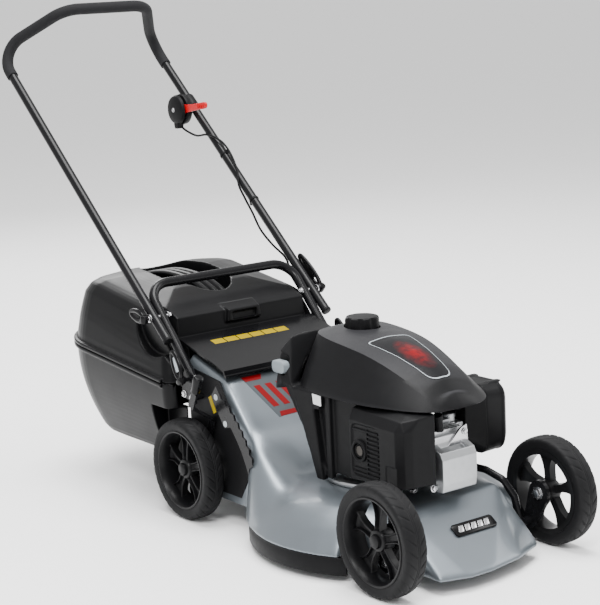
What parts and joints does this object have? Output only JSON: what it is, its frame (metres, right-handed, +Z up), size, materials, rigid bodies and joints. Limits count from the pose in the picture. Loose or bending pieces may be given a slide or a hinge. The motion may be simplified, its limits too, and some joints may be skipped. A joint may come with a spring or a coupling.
{
  "type": "petrol rotary push mower",
  "caption": "Petrol push mower with alloy deck, vertical-shaft engine, swing-blade cutting disc, four wheels, folding handle and rear grass catcher.",
  "frame": {"origin": "on the ground, under the middle of the whole machine", "axes": "+Y from the front wheels to the handle, +Z up, +X to the operator's left"},
  "size_m": [0.514, 1.3819, 1.0153],
  "materials": {
    "deck_paint": "metallic silver-grey paint, semi-gloss",
    "black_plastic": "fine-textured moulding",
    "gloss_black_plastic": "polished moulding",
    "tyre_rubber": "matt, moulded tread",
    "black_enamel": "satin enamel on steel",
    "engine_alloy": "die cast, bead blasted",
    "bright_steel": "zinc plated",
    "sooty_steel": "heat-darkened sheet",
    "foam_rubber": "closed-cell foam",
    "cable_sheath": "smooth extruded sheath",
    "red_plastic": "satin moulding",
    "plug_boot": "moulded boot"
  },
  "bodies": {
    "chassis": {"deck_shell": "deck_paint", "deck_skirt_left": "black_plastic", "deck_skirt_right": "black_plastic", "deck_badge": "black_plastic", "front_axle_bar": "black_enamel", "height_quadrant": "black_enamel", "crankcase": "engine_alloy", "cylinder": "engine_alloy", "head_cover": "engine_alloy", "spark_plug": "plug_boot", "muffler_cover": "black_plastic", "muffler": "sooty_steel", "engine_cowl": "black_plastic", "fuel_tank": "gloss_black_plastic", "recoil_housing": "black_plastic", "carburettor": "engine_alloy", "air_cleaner_case": "black_plastic", "air_filter": "foam_rubber", "handle_bracket_left": "black_enamel", "handle_bracket_right": "black_enamel", "throttle_cable_lower": "cable_sheath"},
    "cutter": {"crankshaft": "bright_steel", "blade_disc": "black_enamel", "disc_bolt": "bright_steel", "flywheel": "engine_alloy", "starter_pulley": "black_plastic"},
    "rear_axle_assembly": {"rear_axle": "black_enamel", "height_lever_grip": "black_plastic"},
    "front_arm_left": {"front_arm_left": "black_enamel"},
    "front_arm_right": {"front_arm_right": "black_enamel"},
    "rear_flap": {"rear_flap": "gloss_black_plastic"},
    "catcher": {"catcher_bin": "black_plastic", "catcher_lid": "gloss_black_plastic"},
    "lower_handle": {"lower_handle": "black_enamel", "fold_bolt_left": "bright_steel", "fold_bolt_right": "bright_steel"},
    "upper_handle": {"upper_handle": "black_enamel", "foam_grip": "foam_rubber", "throttle_housing": "black_plastic", "throttle_cable_upper": "cable_sheath"},
    "fold_lever_left": {"fold_lever_left": "gloss_black_plastic"},
    "fold_lever_right": {"fold_lever_right": "gloss_black_plastic"},
    "foot_lever_left": {"foot_lever_left": "gloss_black_plastic"},
    "foot_lever_right": {"foot_lever_right": "gloss_black_plastic"},
    "throttle_lever": {"throttle_lever": "red_plastic"},
    "fuel_cap": {"fuel_cap": "black_plastic"},
    "air_cleaner_cover": {"air_cleaner_cover": "black_plastic"},
    "starter_grip": {"starter_grip": "black_plastic"},
    "blade_1": {"blade_1": "bright_steel"},
    "blade_2": {"blade_2": "bright_steel"},
    "blade_3": {"blade_3": "bright_steel"},
    "blade_4": {"blade_4": "bright_steel"},
    "wheel_front_left": {"wheel_front_left_rim": "black_plastic", "wheel_front_left_tyre": "tyre_rubber"},
    "wheel_front_right": {"wheel_front_right_rim": "black_plastic", "wheel_front_right_tyre": "tyre_rubber"},
    "wheel_rear_left": {"wheel_rear_left_rim": "black_plastic", "wheel_rear_left_tyre": "tyre_rubber"},
    "wheel_rear_right": {"wheel_rear_right_rim": "black_plastic", "wheel_rear_right_tyre": "tyre_rubber"}
  },
  "joints": [
    {"name": "cutter_spin", "type": "hinge", "parent": "chassis", "child": "cutter", "pos_m": [0, -0.349, 0.125], "axis": [0, 0, 1], "continuous": true},
    {"name": "blade_1_swing", "type": "hinge", "parent": "cutter", "child": "blade_1", "pos_m": [0.09051, -0.25849, 0.048], "axis": [0, 0, 1], "range_deg": [-90, 90]},
    {"name": "blade_2_swing", "type": "hinge", "parent": "cutter", "child": "blade_2", "pos_m": [-0.09051, -0.25849, 0.048], "axis": [0, 0, 1], "range_deg": [-90, 90]},
    {"name": "blade_3_swing", "type": "hinge", "parent": "cutter", "child": "blade_3", "pos_m": [-0.09051, -0.43951, 0.048], "axis": [0, 0, 1], "range_deg": [-90, 90]},
    {"name": "blade_4_swing", "type": "hinge", "parent": "cutter", "child": "blade_4", "pos_m": [0.09051, -0.43951, 0.048], "axis": [0, 0, 1], "range_deg": [-90, 90]},
    {"name": "cutting_height", "type": "hinge", "parent": "chassis", "child": "rear_axle_assembly", "pos_m": [0, 0.039, 0.045], "axis": [1, 0, 0], "range_deg": [0, 52]},
    {"name": "front_height_left", "type": "hinge", "parent": "chassis", "child": "front_arm_left", "pos_m": [0, -0.566, 0.045], "axis": [1, 0, 0], "range_deg": [0, 52]},
    {"name": "front_height_right", "type": "hinge", "parent": "chassis", "child": "front_arm_right", "pos_m": [0, -0.566, 0.045], "axis": [1, 0, 0], "range_deg": [0, 52]},
    {"name": "wheel_front_left_roll", "type": "hinge", "parent": "front_arm_left", "child": "wheel_front_left", "pos_m": [0.2025, -0.59, 0.1015], "axis": [1, 0, 0], "continuous": true},
    {"name": "wheel_front_right_roll", "type": "hinge", "parent": "front_arm_right", "child": "wheel_front_right", "pos_m": [-0.2025, -0.59, 0.1015], "axis": [1, 0, 0], "continuous": true},
    {"name": "wheel_rear_left_roll", "type": "hinge", "parent": "rear_axle_assembly", "child": "wheel_rear_left", "pos_m": [0.2025, 0.015, 0.1015], "axis": [1, 0, 0], "continuous": true},
    {"name": "wheel_rear_right_roll", "type": "hinge", "parent": "rear_axle_assembly", "child": "wheel_rear_right", "pos_m": [-0.2025, 0.015, 0.1015], "axis": [1, 0, 0], "continuous": true},
    {"name": "rear_flap_lift", "type": "hinge", "parent": "chassis", "child": "rear_flap", "pos_m": [0, -0.081, 0.297], "axis": [1, 0, 0], "range_deg": [0, 70], "stiffness_Nm_per_rad": 0.3, "springref_deg": -34.38},
    {"name": "catcher_removal", "type": "slide", "parent": "chassis", "child": "catcher", "axis": [0, 1, 0], "range_m": [0, 0.3]},
    {"name": "lower_handle_tilt", "type": "hinge", "parent": "chassis", "child": "lower_handle", "pos_m": [0, 0.014, 0.281], "axis": [1, 0, 0], "range_deg": [0, 15]},
    {"name": "handle_fold", "type": "hinge", "parent": "lower_handle", "child": "upper_handle", "pos_m": [0, 0.115, 0.393], "axis": [1, 0, 0], "range_deg": [0, 130]},
    {"name": "fold_lever_left_open", "type": "hinge", "parent": "lower_handle", "child": "fold_lever_left", "pos_m": [0.2218, 0.115, 0.393], "axis": [0, 0.66, -0.7513], "range_deg": [0, 100]},
    {"name": "fold_lever_right_open", "type": "hinge", "parent": "lower_handle", "child": "fold_lever_right", "pos_m": [-0.2218, 0.115, 0.393], "axis": [0, -0.1392, 0.9903], "range_deg": [0, 100]},
    {"name": "foot_lever_left_open", "type": "hinge", "parent": "chassis", "child": "foot_lever_left", "pos_m": [0.2068, 0.014, 0.281], "axis": [0, 0.8829, -0.4695], "range_deg": [0, 100]},
    {"name": "foot_lever_right_open", "type": "hinge", "parent": "chassis", "child": "foot_lever_right", "pos_m": [-0.2068, 0.014, 0.281], "axis": [0, -0.8829, 0.4695], "range_deg": [0, 100]},
    {"name": "throttle", "type": "hinge", "parent": "upper_handle", "child": "throttle_lever", "pos_m": [0.174, 0.565, 0.763], "axis": [1, 0, 0], "range_deg": [-15, 25]},
    {"name": "fuel_cap_unscrew", "type": "hinge", "parent": "chassis", "child": "fuel_cap", "pos_m": [0.012, -0.29, 0.4], "axis": [0, 0, 1], "continuous": true},
    {"name": "air_cleaner_open", "type": "hinge", "parent": "chassis", "child": "air_cleaner_cover", "pos_m": [0.1285, -0.448, 0.157], "axis": [0, 1, 0], "range_deg": [0, 30]},
    {"name": "starter_pull", "type": "slide", "parent": "chassis", "child": "starter_grip", "axis": [0, 0.8, 0.6], "range_m": [0, 0.6], "stiffness_N_per_m": 20, "springref_m": -0.3}
  ],
  "couplings": [
    {"joint": "front_height_left", "follows": "cutting_height", "ratio": 1},
    {"joint": "front_height_right", "follows": "cutting_height", "ratio": 1}
  ]
}
